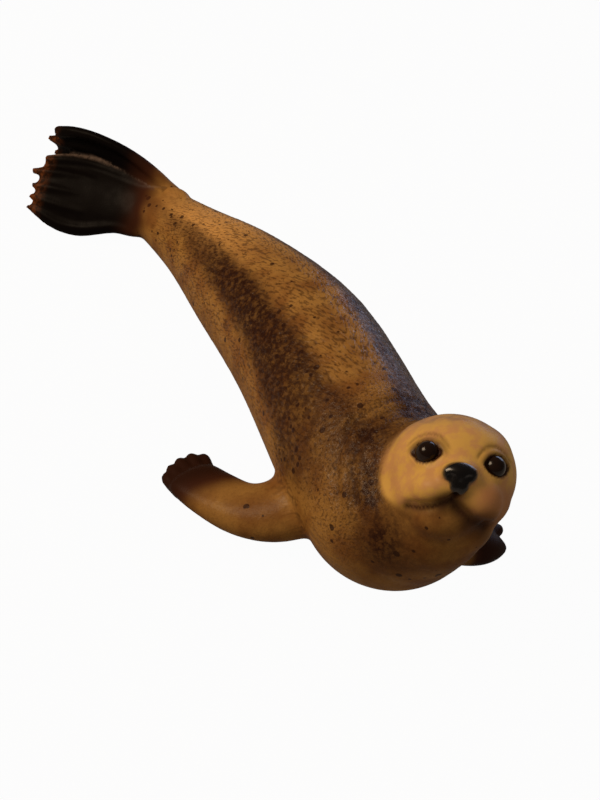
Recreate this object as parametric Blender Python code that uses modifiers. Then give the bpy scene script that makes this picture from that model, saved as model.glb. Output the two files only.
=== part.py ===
"""Seal figurine: a young harbour seal moulded as one solid piece of soft vinyl, lying on its flat belly.

+Z is up. The seal faces -Y and its right side is -X. It bends to its right: the chest, the raised head and
the hind flippers all swing towards -X. The origin is under the middle of its box, on the surface it lies on.
The whole figure is one casting, so it is one object. Sizes are written in millimetres, and the finished mesh
is scaled to metres once.
"""

import math

import bmesh
import bpy
import numpy as np
from mathutils import Matrix, Vector

NAME = "seal"
MM = 0.001

# Trunk. A station is a ring: where its centre is in plan, its half width and its half height.
CHEST = ((0.0, -28.3), 13.7, 13.0)
SHOULDER = ((0.1, -18.0), 12.8, 12.9)
BACK = ((3.2, 6.0), 12.2, 12.7)
LOIN = ((3.1, 28.0), 10.1, 10.3)
HIP = ((1.9, 45.0), 7.3, 7.2)
TAIL_ROOT = ((-1.1, 57.5), 5.4, 5.1)
TAIL_END = ((-3.6, 62.5), 4.0, 3.2)
TAIL_RISE = 2.0
BELLY_CUT = 0.9
STUB_TAIL = (1.2, 54.2, 11.4)
STUB_TAIL_RADII = (2.0, 3.0, 1.5)
STUB_TAIL_TURN = 22

# Head and neck.
HEAD_CENTRE = (1.9, -36.1, 23.9)
HEAD_YAW = 32
HEAD_PITCH = 44
HEAD_ROLL = -5
SKULL_RADII = (9.0, 8.8, 8.3)
NECK_CENTRE = (0.3, -30.5, 16.8)
NECK_RADIUS = 10.2

# Face, in the head's own axes: x to the seal's left, -y out of the face, z to the crown.
EYES = ((4.4, -6.2, 1.2), (-4.3, -6.25, 2.3))
EYE_RADIUS = 1.85
NOSE_TIP = (-0.6, -11.3, -0.2)
BRIDGE, BRIDGE_RADII = (-0.2, -5.6, -0.5), (3.4, 5.6, 3.2)
CHEEKS, CHEEK_RADII = ((3.6, -2.6, -2.8), (-4.0, -2.6, -2.8)), (4.3, 5.4, 4.3)
BROWS, BROW_RADII = ((3.4, -1.0, 2.4), (-3.6, -1.0, 2.4)), (4.7, 4.8, 4.7)
RIGHT_PAD, RIGHT_PAD_RADII = (-2.9, -7.2, -2.3), (3.6, 3.3, 2.6)
LEFT_PAD, LEFT_PAD_RADII = (2.5, -7.0, -3.4), (3.5, 3.3, 3.5)
CHIN_CENTRE, CHIN_RADII = (-1.6, -5.6, -6.2), (4.1, 3.2, 2.7)
THROAT_CENTRE, THROAT_RADII = (-0.6, -1.2, -6.5), (6.8, 5.3, 5.0)
# The chest swells in steps from the throat.
BIB_STEPS = 4
BIB_END = (-0.5, -30.5, 13.0)
BIB_RADII = (6.2, 12.2)
MOUTH_LINE = ((-6.4, -4.6), (-5.0, -4.7), (-3.6, -4.45), (-2.4, -4.0), (-1.2, -3.5), (0.3, -4.9), (1.6, -6.0), (4.2, -6.5))
MOUTH_DEPTH = 0.5
MOUTH_HALF_WIDTH = 0.7
LID_RADIUS = 2.3
LID_HEIGHT = 0.22
EYE_GROOVE_RADIUS = 1.95
EYE_GROOVE_DEPTH = 0.18
NOSTRILS = ((0.5, -11.0, -0.5), (-1.7, -11.0, -0.5))
NOSTRIL_DEPTH = 0.4
# Folds of the neck stand around the head, each at its distance from the head's centre.
NECK_FOLDS = (11.3, 13.4, 15.6)
FOLD_DEPTH = 0.22
FOLD_HALF_WIDTH = 0.6

# Front flippers: rings of the arm as centre, half width and half height, then the tips of the five digits.
RIGHT_ARM = (
    ((-6.0, -20.3, 8.5), 6.0, 5.2),
    ((-12.8, -19.5, 5.4), 5.7, 4.0),
    ((-17.1, -16.3, 3.6), 5.0, 3.3),
    ((-19.7, -11.2, 2.7), 4.9, 2.6),
    ((-21.2, -7.0, 2.2), 4.7, 2.0),
    ((-21.6, -5.6, 1.8), 4.2, 1.5),
)
RIGHT_DIGITS = (
    ((-24.0, -8.6, 1.5), (-24.6, -3.5, 1.2)),
    ((-22.7, -7.6, 2.0), (-23.3, -2.3, 1.4)),
    ((-21.2, -7.2, 2.2), (-21.5, -1.4, 1.5)),
    ((-19.7, -7.2, 2.2), (-19.3, -1.0, 1.5)),
    ((-18.2, -7.6, 1.8), (-17.4, -1.4, 1.3)),
)
LEFT_ARM = (
    ((4.0, -28.5, 8.5), 5.4, 5.2),
    ((9.6, -32.0, 5.0), 4.8, 4.0),
    ((13.6, -33.2, 3.2), 4.4, 2.9),
    ((16.4, -32.7, 2.3), 4.1, 2.0),
    ((17.6, -32.2, 1.9), 3.7, 1.6),
)
LEFT_DIGITS = (
    ((14.6, -35.0, 1.5), (17.8, -34.6, 1.2)),
    ((15.6, -34.0, 2.0), (19.3, -33.0, 1.4)),
    ((16.4, -32.7, 2.2), (21.0, -30.8, 1.5)),
    ((16.4, -31.1, 2.2), (21.0, -28.8, 1.5)),
    ((15.6, -29.7, 1.8), (19.7, -27.2, 1.3)),
)
FRONT_DIGIT_RADIUS = 1.0

# Hind flippers: a blade has axes along, down its width and out of its face, from a root on the tail.
NEAR_ROOT = (-3.0, 56.6, 6.4)
NEAR_ALONG = (-0.75, 0.66, -0.02)
NEAR_DOWN = (-0.23, -0.72, -0.65)
FAR_ROOT = (1.2, 58.4, 6.9)
FAR_ALONG = (-0.62, 0.76, 0.08)
FAR_DOWN = (0.05, 0.05, -1.0)
FAR_STRETCH = 1.16
FAR_SLANT = 0.22
FAR_ARCH = 1.3
FAR_CLAW_SHARE = 0.8
# Web stations: distance along, the two edges, half thickness.
WEB = (
    (-3.0, -4.2, 4.2, 3.6),
    (0.5, -4.9, 4.2, 3.0),
    (4.0, -6.0, 4.0, 1.8),
    (8.0, -7.1, 5.4, 1.1),
    (13.0, -7.7, 7.0, 0.8),
    (18.0, -6.8, 6.9, 0.75),
    (20.4, -5.8, 5.8, 0.65),
    (22.4, -4.6, 4.6, 0.45),
)
WEB_END = 20.4
FAR_SHAPE = (FAR_STRETCH, FAR_SLANT, FAR_ARCH, FAR_CLAW_SHARE)
# Digits of a hind flipper: points as distance along and down, with the radius there.
NEAR_FIRST_DIGIT = ((-4, -2.0, 1.6), (2, -4.7, 1.4), (7, -6.4, 1.2), (13, -7.2, 1.15), (18, -6.8, 1.3), (22.4, -5.5, 1.0))
FAR_FIRST_DIGIT = ((-4, -2.0, 1.6), (2, -4.7, 1.4), (7, -6.4, 1.2), (13, -7.2, 1.15), (18, -6.6, 1.3), (21.2, -5.3, 1.3))
OTHER_DIGITS = (
    ((-4, -1.0, 1.6), (2, -2.7, 1.2), (8, -3.7, 0.8), (14, -4.0, 0.9), (20.5, -3.3, 1.15), (24.2, -2.7, 0.5)),
    ((-4, 0.0, 1.6), (2, -0.2, 1.2), (8, -0.6, 0.8), (14, -0.5, 0.9), (19.5, -0.2, 1.1), (23.4, 0.0, 0.45)),
    ((-4, 1.0, 1.6), (2, 2.0, 1.2), (8, 2.3, 0.8), (14, 2.8, 0.9), (19.5, 2.6, 1.05), (23.2, 2.1, 0.45)),
    ((-4, 1.8, 1.5), (2, 3.4, 1.3), (6, 3.9, 1.1), (12, 5.9, 1.15), (16.5, 6.0, 1.1), (20, 5.0, 0.95), (23.3, 4.1, 0.35)),
)
BLADE_CUP = 1.1

# Surface.
MASS_GRAIN = 0.5
MASS_SMOOTHING = 18
DETAIL_GRAIN = 0.36
DETAIL_SMOOTHING = 3
TRIANGLES = 11700
KEEP_FACE = 0.75


def head_frame():
    """The head's own axes as a matrix: local X is the seal's left, local -Y its muzzle, local +Z its crown."""
    return (
        Matrix.Translation(HEAD_CENTRE)
        @ Matrix.Rotation(math.radians(-HEAD_YAW), 4, "Z")
        @ Matrix.Rotation(math.radians(-HEAD_PITCH), 4, "X")
        @ Matrix.Rotation(math.radians(HEAD_ROLL), 4, "Y")
    )


def between(a, b, c, d, t):
    """Catmull-Rom curve from b to c."""
    return 0.5 * ((2 * b) + (c - a) * t + (2 * a - 5 * b + 4 * c - d) * t**2 + (3 * b - a - 3 * c + d) * t**3)


def smooth_rings(rings, steps=4):
    """Rings between the given ones, on a smooth curve. A ring is a centre, a half width and a half height."""
    flat = [Vector((*centre, wide, high)) for centre, wide, high in rings]
    padded = [flat[0] * 2 - flat[1], *flat, flat[-1] * 2 - flat[-2]]
    found = []
    for i in range(1, len(padded) - 2):
        for k in range(steps):
            found.append(between(*padded[i - 1 : i + 3], k / steps))
    found.append(flat[-1])
    return [(Vector(v[:3]), v[3], v[4]) for v in found]


def loft(bm, rings, up=Vector((0, 0, 1)), segments=24):
    """A closed tube through the rings, with flat ends. Each ring stands square to the line of centres."""
    loops = []
    for i, (centre, wide, high) in enumerate(rings):
        ahead = rings[min(i + 1, len(rings) - 1)][0] - rings[max(i - 1, 0)][0]
        ahead.normalize()
        side = up.cross(ahead).normalized()
        top = ahead.cross(side)
        frame = Matrix((side, top, ahead)).transposed().to_4x4()
        place = Matrix.Translation(centre) @ frame @ Matrix.Diagonal((wide, high, 1, 1))
        made = bmesh.ops.create_circle(bm, cap_ends=False, segments=segments, radius=1.0, matrix=place)
        loops.append(list({e for v in made["verts"] for e in v.link_edges}))
    for near, far in zip(loops, loops[1:]):
        bmesh.ops.bridge_loops(bm, edges=near + far)
    for end in (loops[0], loops[-1]):
        bmesh.ops.contextual_create(bm, geom=end)


def ball(bm, frame, centre, radii):
    """An ellipsoid in a frame."""
    place = frame @ Matrix.Translation(centre) @ Matrix.Diagonal((*radii, 1))
    bmesh.ops.create_uvsphere(bm, u_segments=32, v_segments=20, radius=1.0, matrix=place)


def station(ring, rise=0.0):
    plan, half_width, half_height = ring
    return (Vector((*plan, half_height - BELLY_CUT + rise)), half_width, half_height)


def trunk(bm):
    rings = [station(CHEST), station(SHOULDER), station(BACK), station(LOIN)]
    rings += [station(HIP, TAIL_RISE / 3), station(TAIL_ROOT, TAIL_RISE), station(TAIL_END, TAIL_RISE * 2)]
    loft(bm, smooth_rings(rings))
    chest = station(CHEST)
    ball(bm, Matrix.Identity(4), chest[0], (chest[1], chest[1], chest[2]))


def neck_and_skull(bm):
    ball(bm, Matrix.Identity(4), NECK_CENTRE, (NECK_RADIUS,) * 3)
    ball(bm, head_frame(), (0, 0, 0), SKULL_RADII)


def muzzle(bm):
    frame = head_frame()
    ball(bm, frame, BRIDGE, BRIDGE_RADII)
    for cheek, brow in zip(CHEEKS, BROWS):
        ball(bm, frame, cheek, CHEEK_RADII)
        ball(bm, frame, brow, BROW_RADII)
    ball(bm, frame, RIGHT_PAD, RIGHT_PAD_RADII)
    ball(bm, frame, LEFT_PAD, LEFT_PAD_RADII)
    ball(bm, frame, CHIN_CENTRE, CHIN_RADII)
    ball(bm, frame, THROAT_CENTRE, THROAT_RADII)


def bib(bm):
    """Fills the hollow between the throat and the chest."""
    throat = head_frame() @ Vector(THROAT_CENTRE)
    for k in range(1, BIB_STEPS):
        share = k / BIB_STEPS
        radius = BIB_RADII[0] + (BIB_RADII[1] - BIB_RADII[0]) * share
        ball(bm, Matrix.Identity(4), throat.lerp(Vector(BIB_END), share), (radius,) * 3)


def arm(bm, rings):
    loft(bm, smooth_rings([(Vector(c), w, h) for c, w, h in rings]))


def masses(bm):
    trunk(bm)
    neck_and_skull(bm)
    muzzle(bm)
    bib(bm)
    arm(bm, RIGHT_ARM)
    arm(bm, LEFT_ARM)
    hind_flippers(bm, WEB[:4], (), ())


def digit(bm, root, tip, radius):
    """A short rounded digit with a small claw on its end."""
    root, tip = Vector(root), Vector(tip)
    ahead = (tip - root).normalized()
    knuckle = tip - ahead * radius * 1.6
    rings = [(root, radius, radius), (knuckle, radius * 1.12, radius * 1.05)]
    rings += [(tip - ahead * radius * 0.55, radius * 0.85, radius * 0.8), (tip, radius * 0.3, radius * 0.3)]
    loft(bm, smooth_rings(rings, 3), segments=14)


def blade_frame(root, along, down, outward):
    """Axes of a hind flipper as a matrix: x along it, y down its width, z out of its face."""
    along = Vector(along).normalized()
    down = Vector(down)
    down = (down - along * down.dot(along)).normalized()
    face = along.cross(down) * outward
    return Matrix.Translation(root) @ Matrix((along, down, face)).transposed().to_4x4()


def blade(bm, frame, web, digits, stretch=1.0, slant=0.0, arch=0.0, claw_share=1.0):
    """One hind flipper: a thin web with ridged digits, cupped across its width."""
    flat = bmesh.new()
    up = Vector((0, 0, 1))
    rings = [(Vector((a, (lo + hi) / 2, 0)), (hi - lo) / 2, thick) for a, lo, hi, thick in web]
    loft(flat, smooth_rings(rings), up=up, segments=40)
    for line in digits:
        loft(flat, smooth_rings([(Vector((a, w, 0)), r, r) for a, w, r in line]), up=up, segments=12)
    for v in flat.verts:
        open_share = min(max(v.co.x / 12, 0), 1)
        v.co.z += BLADE_CUP * open_share * ((v.co.y / 7) ** 2 - 0.5)
        v.co.y -= arch * math.sin(math.pi * min(max(v.co.x / 20, 0), 1))
        reach = min(v.co.x, WEB_END) + max(v.co.x - WEB_END, 0) * claw_share
        v.co.x = reach * stretch - slant * open_share * (v.co.y + 6)
    flat.transform(frame)
    merged = bpy.data.meshes.new("blade")
    flat.to_mesh(merged)
    flat.free()
    bm.from_mesh(merged)
    bpy.data.meshes.remove(merged)


def face_details(bm):
    frame = head_frame()
    for centre in EYES:
        ball(bm, frame, centre, (EYE_RADIUS,) * 3)
    x, y, z = NOSE_TIP
    ball(bm, frame, (x, y + 1.6, z + 0.1), (2.7, 1.9, 1.7))
    ball(bm, frame, (x, y + 1.6, z - 1.3), (1.6, 1.6, 1.6))


def hind_flippers(bm, web, near_digits, far_digits):
    blade(bm, blade_frame(NEAR_ROOT, NEAR_ALONG, NEAR_DOWN, -1), web, near_digits)
    blade(bm, blade_frame(FAR_ROOT, FAR_ALONG, FAR_DOWN, 1), web[1:], far_digits, *FAR_SHAPE)


def details(bm):
    face_details(bm)
    for root, tip in RIGHT_DIGITS + LEFT_DIGITS:
        digit(bm, root, tip, FRONT_DIGIT_RADIUS)
    hind_flippers(bm, WEB, (NEAR_FIRST_DIGIT, *OTHER_DIGITS), (FAR_FIRST_DIGIT, *OTHER_DIGITS))
    turn = Matrix.Rotation(math.radians(STUB_TAIL_TURN), 4, "Z")
    ball(bm, Matrix.Translation(STUB_TAIL) @ turn, (0, 0, 0), STUB_TAIL_RADII)


def remeshed(bm, grain, smoothing):
    """The shapes in bm melted into one skin, as a new bmesh."""
    bmesh.ops.recalc_face_normals(bm, faces=bm.faces)
    mesh = bpy.data.meshes.new("rough")
    bm.to_mesh(mesh)
    bm.free()
    rough = bpy.data.objects.new("rough", mesh)
    bpy.context.scene.collection.objects.link(rough)
    skin = rough.modifiers.new("skin", "REMESH")
    skin.mode = "VOXEL"
    skin.voxel_size = grain
    smooth = rough.modifiers.new("smooth", "SMOOTH")
    smooth.iterations = smoothing
    smooth.factor = 0.5
    done = bmesh.new()
    done.from_object(rough, bpy.context.evaluated_depsgraph_get())
    bpy.data.objects.remove(rough)
    bpy.data.meshes.remove(mesh)
    return done


def distance_to_line(points, line):
    """Distance of each 2-D point to a polyline."""
    nearest = np.full(len(points), 1e9)
    for a, b in zip(line, line[1:]):
        a, b = np.array(a), np.array(b)
        share = np.clip(((points - a) @ (b - a)) / ((b - a) @ (b - a)), 0, 1)
        nearest = np.minimum(nearest, np.linalg.norm(points - (a + share[:, None] * (b - a)), axis=1))
    return nearest


def ridge(distance, half_width):
    """1 at distance 0, falling smoothly to 0."""
    return np.exp(-((distance / half_width) ** 2))


def carve_face(bm):
    """Works the mouth, the eyelids, the nostrils and the folds of the neck into the skin."""
    bm.normal_update()
    inverse = np.array(head_frame().inverted())
    at = np.array([v.co for v in bm.verts])
    local = at @ inverse[:3, :3].T + inverse[:3, 3]
    front = np.clip((-2.5 - local[:, 1]) / 1.5, 0, 1)
    lift = -MOUTH_DEPTH * front * ridge(distance_to_line(local[:, [0, 2]], MOUTH_LINE), MOUTH_HALF_WIDTH)
    for centre, nostril in zip(EYES, NOSTRILS):
        from_eye = np.linalg.norm(local - centre, axis=1)
        lift += LID_HEIGHT * ridge(from_eye - LID_RADIUS, 0.35)
        lift -= EYE_GROOVE_DEPTH * ridge(from_eye - EYE_GROOVE_RADIUS, 0.25)
        lift -= NOSTRIL_DEPTH * ridge(np.linalg.norm(local - nostril, axis=1), 0.5)
    from_head = np.linalg.norm(local, axis=1)
    behind = np.clip((local[:, 1] + 2) / 2, 0, 1) * np.clip((local[:, 2] + 6) / 3, 0, 1)
    for fold in NECK_FOLDS:
        wave = 0.35 * np.sin(local[:, 0] * 0.5 + fold)
        lift -= FOLD_DEPTH * behind * ridge(from_head - fold - wave, FOLD_HALF_WIDTH)
    for v, rise in zip(bm.verts, lift):
        if abs(rise) > 0.005:
            v.co += v.normal * rise


def rest_flat(bm):
    """Cuts the figure level where it rests and closes the cut."""
    cut = bmesh.ops.bisect_plane(
        bm, geom=bm.verts[:] + bm.edges[:] + bm.faces[:], plane_co=(0, 0, 0), plane_no=(0, 0, -1), clear_outer=True
    )
    rim = [e for e in cut["geom_cut"] if isinstance(e, bmesh.types.BMEdge)]
    bmesh.ops.holes_fill(bm, edges=rim, sides=0)
    bmesh.ops.triangulate(bm, faces=bm.faces)


def lighten(bm):
    """Fewer triangles in the same shape."""
    mesh = bpy.data.meshes.new("light")
    bm.to_mesh(mesh)
    bm.free()
    heavy = bpy.data.objects.new("heavy", mesh)
    bpy.context.scene.collection.objects.link(heavy)
    thin = heavy.modifiers.new("thin", "DECIMATE")
    thin.ratio = TRIANGLES / sum(len(p.vertices) - 2 for p in mesh.polygons)
    keep = heavy.vertex_groups.new(name="keep")
    inverse = head_frame().inverted()
    for v in mesh.vertices:
        at = inverse @ v.co
        if at.y < -3 and at.length < 14:
            keep.add([v.index], KEEP_FACE, "REPLACE")
    thin.vertex_group = "keep"
    thin.invert_vertex_group = True
    done = bmesh.new()
    done.from_object(heavy, bpy.context.evaluated_depsgraph_get())
    bpy.data.objects.remove(heavy)
    bpy.data.meshes.remove(mesh)
    return done


def centred(bm):
    """Moves the origin under the middle of the box and scales to metres. Returns the move."""
    low = Vector([min(v.co[i] for v in bm.verts) for i in range(3)])
    high = Vector([max(v.co[i] for v in bm.verts) for i in range(3)])
    shift = Vector((-(low.x + high.x) / 2, -(low.y + high.y) / 2, -low.z))
    bmesh.ops.translate(bm, verts=bm.verts, vec=shift)
    bmesh.ops.scale(bm, verts=bm.verts, vec=(MM, MM, MM))
    return shift * MM


def vinyl():
    """The moulded vinyl, as its base colour."""
    material = bpy.data.materials.new("moulded vinyl")
    material.use_nodes = True
    shader = material.node_tree.nodes["Principled BSDF"]
    shader.inputs["Base Color"].default_value = (0.32, 0.17, 0.07, 1)
    shader.inputs["Roughness"].default_value = 0.45
    return material


def main():
    for old in list(bpy.data.objects):
        bpy.data.objects.remove(old)
    bm = bmesh.new()
    masses(bm)
    bm = remeshed(bm, MASS_GRAIN, MASS_SMOOTHING)
    details(bm)
    bm = remeshed(bm, DETAIL_GRAIN, DETAIL_SMOOTHING)
    carve_face(bm)
    bm = lighten(bm)
    rest_flat(bm)
    shift = centred(bm)
    bmesh.ops.recalc_face_normals(bm, faces=bm.faces)
    mesh = bpy.data.meshes.new(NAME)
    bm.to_mesh(mesh)
    bm.free()
    seal = bpy.data.objects.new(NAME, mesh)
    seal.data.materials.append(vinyl())
    seal["origin_shift"] = tuple(shift)
    home = bpy.data.collections.new("seal figurine")
    bpy.context.scene.collection.children.link(home)
    home.objects.link(seal)


main()
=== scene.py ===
"""Looks of the seal figurine: one painted soft-vinyl casting with glossy eyes, a pale stage and soft light.

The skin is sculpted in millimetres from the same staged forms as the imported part, at a finer grain. It carries
the carved fur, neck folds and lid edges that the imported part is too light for. It is scaled to metres once.
"""

import math

import bmesh
import bpy
import numpy as np
from mathutils import Matrix, Vector, noise


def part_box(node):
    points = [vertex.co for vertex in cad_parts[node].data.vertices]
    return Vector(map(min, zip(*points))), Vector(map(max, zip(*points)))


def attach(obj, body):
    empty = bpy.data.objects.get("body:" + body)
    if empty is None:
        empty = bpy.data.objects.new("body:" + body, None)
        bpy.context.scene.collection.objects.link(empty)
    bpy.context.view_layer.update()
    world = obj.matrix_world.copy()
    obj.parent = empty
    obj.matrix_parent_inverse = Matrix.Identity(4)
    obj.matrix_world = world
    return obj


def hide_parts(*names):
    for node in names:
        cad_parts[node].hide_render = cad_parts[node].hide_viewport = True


bl_info = {
    "name": "Seal figurine",
    "version": (1, 0, 0),
    "blender": (4, 5, 0),
    "location": "View3D > Sidebar > Seal",
    "description": "Builds a painted vinyl seal figurine around its packed model",
    "category": "Add Mesh",
}

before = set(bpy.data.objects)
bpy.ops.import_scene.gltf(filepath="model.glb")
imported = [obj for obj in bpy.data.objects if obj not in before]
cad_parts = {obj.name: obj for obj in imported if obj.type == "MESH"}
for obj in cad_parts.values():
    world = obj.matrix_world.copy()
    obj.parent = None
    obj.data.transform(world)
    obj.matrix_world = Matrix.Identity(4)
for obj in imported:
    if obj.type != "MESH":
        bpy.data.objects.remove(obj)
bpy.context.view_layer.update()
MM = 0.001

# Trunk stations: centre in plan, half width, half height, in millimetres.
CHEST = ((0.0, -28.3), 13.7, 13.0)
SHOULDER = ((0.1, -18.0), 12.8, 12.9)
BACK = ((3.2, 6.0), 12.2, 12.7)
LOIN = ((3.1, 28.0), 10.1, 10.3)
HIP = ((1.9, 45.0), 7.3, 7.2)
TAIL_ROOT = ((-1.1, 57.5), 5.4, 5.1)
TAIL_END = ((-3.6, 62.5), 4.0, 3.2)
TAIL_RISE = 2.0
BELLY_CUT = 0.9
STUB_TAIL = (1.2, 54.2, 11.4)
STUB_TAIL_RADII = (2.0, 3.0, 1.5)
STUB_TAIL_TURN = 22

# Head and neck.
HEAD_CENTRE = (1.9, -36.1, 23.9)
HEAD_YAW = 32
HEAD_PITCH = 44
HEAD_ROLL = -5
SKULL_RADII = (9.0, 8.8, 8.3)
NECK_CENTRE = (0.3, -30.5, 16.8)
NECK_RADIUS = 10.2

# Face, in the head's own axes: x to the seal's left, -y out of the face, z to the crown.
EYES = ((4.4, -6.2, 1.2), (-4.3, -6.25, 2.3))
EYE_GAZES = ((0.42, -0.88, 0.2), (-0.42, -0.88, 0.2))
EYE_OPENING = (2.25, 1.5)
NOSE_TIP = (-0.6, -11.3, -0.2)
BRIDGE, BRIDGE_RADII = (-0.2, -5.6, -0.5), (3.4, 5.6, 3.2)
CHEEKS, CHEEK_RADII = ((3.6, -2.6, -2.8), (-4.0, -2.6, -2.8)), (4.3, 5.4, 4.3)
BROWS, BROW_RADII = ((3.4, -1.0, 2.4), (-3.6, -1.0, 2.4)), (4.7, 4.8, 4.7)
RIGHT_PAD, RIGHT_PAD_RADII = (-2.9, -7.2, -2.3), (3.6, 3.3, 2.6)
LEFT_PAD, LEFT_PAD_RADII = (2.5, -7.0, -3.4), (3.5, 3.3, 3.5)
CHIN, CHIN_RADII = (-1.6, -5.6, -6.2), (4.1, 3.2, 2.7)
THROAT, THROAT_RADII = (-0.6, -1.2, -6.5), (6.8, 5.3, 5.0)
BIB_STEPS = 4
BIB_END = (-0.5, -30.5, 13.0)
BIB_RADII = (6.2, 12.2)
MOUTH_LINE = (
    (-6.4, -4.6),
    (-5.0, -4.7),
    (-3.6, -4.45),
    (-2.4, -4.0),
    (-1.2, -3.5),
    (0.3, -4.9),
    (1.6, -6.0),
    (4.2, -6.5),
)
RIGHT_OF_MOUTH = 3
PHILTRUM_LINE = ((-0.5, -1.4), (-0.6, -2.4), (-1.2, -3.5))
NOSTRILS = ((0.5, -11.0, -0.5), (-1.7, -11.0, -0.5))
NECK_FOLDS = (11.3, 13.4, 15.6)
# The collar is the crease between head and neck, as a distance from the head's centre.
COLLAR = 10.1
COLLAR_DEPTH = 0.45
# Nose leather and what lies under it: radii of the two forms, then centre and radii of their black paint.
NOSE_RADII = (2.7, 1.9, 1.7)
UNDER_NOSE_RADII = (1.6, 1.6, 1.6)
NOSE_PAINT = (-0.6, -10.0, -0.1), (2.35, 2.6, 1.55)
UNDER_NOSE_PAINT = (-0.6, -10.0, -1.5), (1.3, 2.6, 1.3)
# Pale face paint: its reach from the head's centre, and its lower edge as places across and heights.
FACE_EDGE = 9.9
FACE_LOWER_EDGE = (
    (-9.5, -7.5, -6.0, -3.6, -1.2, 0.3, 1.6, 4.2, 8.0),
    (-4.0, -4.5, -4.8, -4.5, -3.7, -5.0, -6.1, -6.7, -5.6),
)

# Front flippers: rings of the arm as centre, half width and half height, then root and tip of each digit.
RIGHT_ARM = (
    ((-6.0, -20.3, 8.5), 6.0, 5.2),
    ((-12.8, -19.5, 5.4), 5.7, 4.0),
    ((-17.1, -16.3, 3.6), 5.0, 3.3),
    ((-19.7, -11.2, 2.7), 4.9, 2.6),
    ((-21.2, -7.0, 2.2), 4.7, 2.0),
    ((-21.6, -5.6, 1.8), 4.2, 1.5),
)
RIGHT_DIGITS = (
    ((-24.0, -8.6, 1.5), (-24.6, -3.5, 1.2)),
    ((-22.7, -7.6, 2.0), (-23.3, -2.3, 1.4)),
    ((-21.2, -7.2, 2.2), (-21.5, -1.4, 1.5)),
    ((-19.7, -7.2, 2.2), (-19.3, -1.0, 1.5)),
    ((-18.2, -7.6, 1.8), (-17.4, -1.4, 1.3)),
)
LEFT_ARM = (
    ((4.0, -28.5, 8.5), 5.4, 5.2),
    ((9.6, -32.0, 5.0), 4.8, 4.0),
    ((13.6, -33.2, 3.2), 4.4, 2.9),
    ((16.4, -32.7, 2.3), 4.1, 2.0),
    ((17.6, -32.2, 1.9), 3.7, 1.6),
)
LEFT_DIGITS = (
    ((14.6, -35.0, 1.5), (17.8, -34.6, 1.2)),
    ((15.6, -34.0, 2.0), (19.3, -33.0, 1.4)),
    ((16.4, -32.7, 2.2), (21.0, -30.8, 1.5)),
    ((16.4, -31.1, 2.2), (21.0, -28.8, 1.5)),
    ((15.6, -29.7, 1.8), (19.7, -27.2, 1.3)),
)
FRONT_DIGIT_RADIUS = 1.0

# Hind flippers: a blade has axes along, down its width and out of its face, from a root on the tail.
NEAR_BLADE = ((-3.0, 56.6, 6.4), (-0.75, 0.66, -0.02), (-0.23, -0.72, -0.65), -1)
FAR_BLADE = ((1.2, 58.4, 6.9), (-0.62, 0.76, 0.08), (0.05, 0.05, -1.0), 1)
FAR_STRETCH = 1.16
FAR_SLANT = 0.22
FAR_ARCH = 1.3
FAR_CLAW_SHARE = 0.8
FAR_SHAPE = (FAR_STRETCH, FAR_SLANT, FAR_ARCH, FAR_CLAW_SHARE)
WEB_END = 20.4
# Web stations: distance along, the two edges, half thickness.
WEB = (
    (-3.0, -4.2, 4.2, 3.6),
    (0.5, -4.9, 4.2, 3.0),
    (4.0, -6.0, 4.0, 1.8),
    (8.0, -7.1, 5.4, 1.1),
    (13.0, -7.7, 7.0, 0.8),
    (18.0, -6.8, 6.9, 0.75),
    (WEB_END, -5.8, 5.8, 0.65),
    (22.4, -4.6, 4.6, 0.45),
)
# Digits of a hind flipper: points as distance along and down, with the radius there.
FIRST_DIGIT_ROOT = ((-4, -2.0, 1.6), (2, -4.7, 1.4), (7, -6.4, 1.2), (13, -7.2, 1.15))
NEAR_FIRST_DIGIT = (*FIRST_DIGIT_ROOT, (18, -6.8, 1.3), (22.4, -5.5, 1.0))
FAR_FIRST_DIGIT = (*FIRST_DIGIT_ROOT, (18, -6.6, 1.3), (21.2, -5.3, 1.3))
OTHER_DIGITS = (
    ((-4, -1.0, 1.6), (2, -2.7, 1.2), (8, -3.7, 0.8), (14, -4.0, 0.9), (20.5, -3.3, 1.15), (24.2, -2.7, 0.5)),
    ((-4, 0.0, 1.6), (2, -0.2, 1.2), (8, -0.6, 0.8), (14, -0.5, 0.9), (19.5, -0.2, 1.1), (23.4, 0.0, 0.45)),
    ((-4, 1.0, 1.6), (2, 2.0, 1.2), (8, 2.3, 0.8), (14, 2.8, 0.9), (19.5, 2.6, 1.05), (23.2, 2.1, 0.45)),
    (
        *((-4, 1.8, 1.5), (2, 3.4, 1.3), (6, 3.9, 1.1), (12, 5.9, 1.15)),
        *((16.5, 6.0, 1.1), (20, 5.0, 0.95), (23.3, 4.1, 0.35)),
    ),
)
BLADE_CUP = 1.1

# Sculpting passes.
MASS_GRAIN = 0.5
MASS_SMOOTHING = 18
DETAIL_SMOOTHING = 3

# Paint. A dark band lies along each flank, by distance from the chest: its edges are angles from the
# back, and its strength is a share.
BAND_LEAN = 5
BAND_UPPER_EDGE = ((0, 10, 20, 40, 70, 80), (10, 17, 24, 28, 26, 25))
BAND_LOWER_EDGE = ((0, 10, 20, 40, 60, 75), (76, 88, 74, 62, 55, 46))
BAND_STRENGTH = ((0, 8, 20, 30, 50, 62, 74, 84, 92), (0.12, 0.75, 0.95, 1.0, 1.0, 0.8, 0.6, 0.35, 0.0))
NECK_PATCH = (-8.3, -37.9, 16.2)
NECK_PATCH_RADII = (4.0, 4.3, 5.8)
STROKE_LEAN = 22
ROUND_TRUNK = 11.0
HAND_PAINT = 0.72

# Camera, as the photograph was taken.
LOOK_AT = (0.0, 0.0, 7.3)
CAMERA_TURN = -35
CAMERA_RISE = 40
CAMERA_ROLL = 12
CAMERA_DISTANCE = 0.210
CAMERA_LENS = 58.5

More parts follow.
